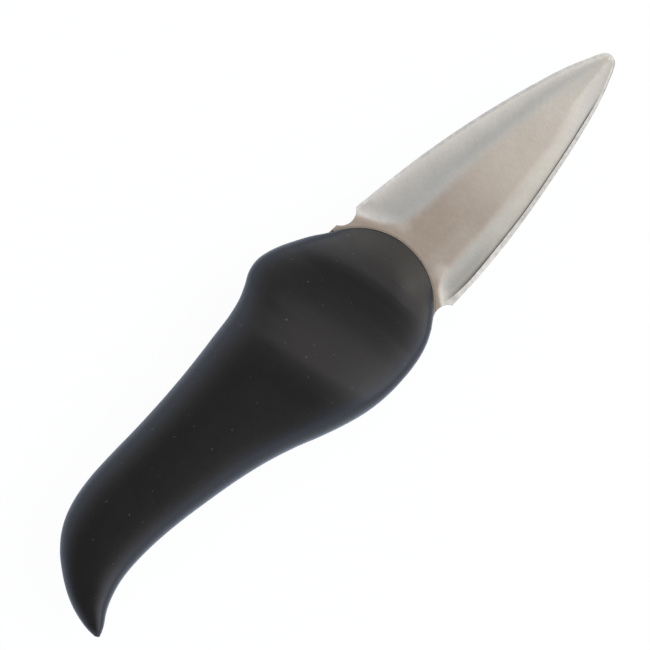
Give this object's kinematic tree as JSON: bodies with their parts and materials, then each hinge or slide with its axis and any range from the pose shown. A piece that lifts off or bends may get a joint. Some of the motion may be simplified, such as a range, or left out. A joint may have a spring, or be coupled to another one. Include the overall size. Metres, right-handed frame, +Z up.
{
  "type": "oyster knife",
  "caption": "Oyster knife: a short pointed blade ground on both edges, its tang hidden in a bulbous soft-grip handle that has a thumb rest and a hooked tail.",
  "frame": {"origin": "middle of the bounding box's bottom face: the knife lies on its side, on the crest of its handle", "axes": "+X along the blade to its nose, +Y towards the bump on the handle, +Z up, square to the blade's flat"},
  "size_m": [0.1992, 0.0484, 0.0242],
  "materials": {
    "steel": "cross-brushed flat, satin ground faces",
    "core_plastic": "plain moulded",
    "soft_grip": "matt soft-touch"
  },
  "bodies": {
    "root": {"blade": "steel", "core_upper_half": "core_plastic", "core_lower_half": "core_plastic", "grip_skin": "soft_grip"}
  },
  "joints": []
}
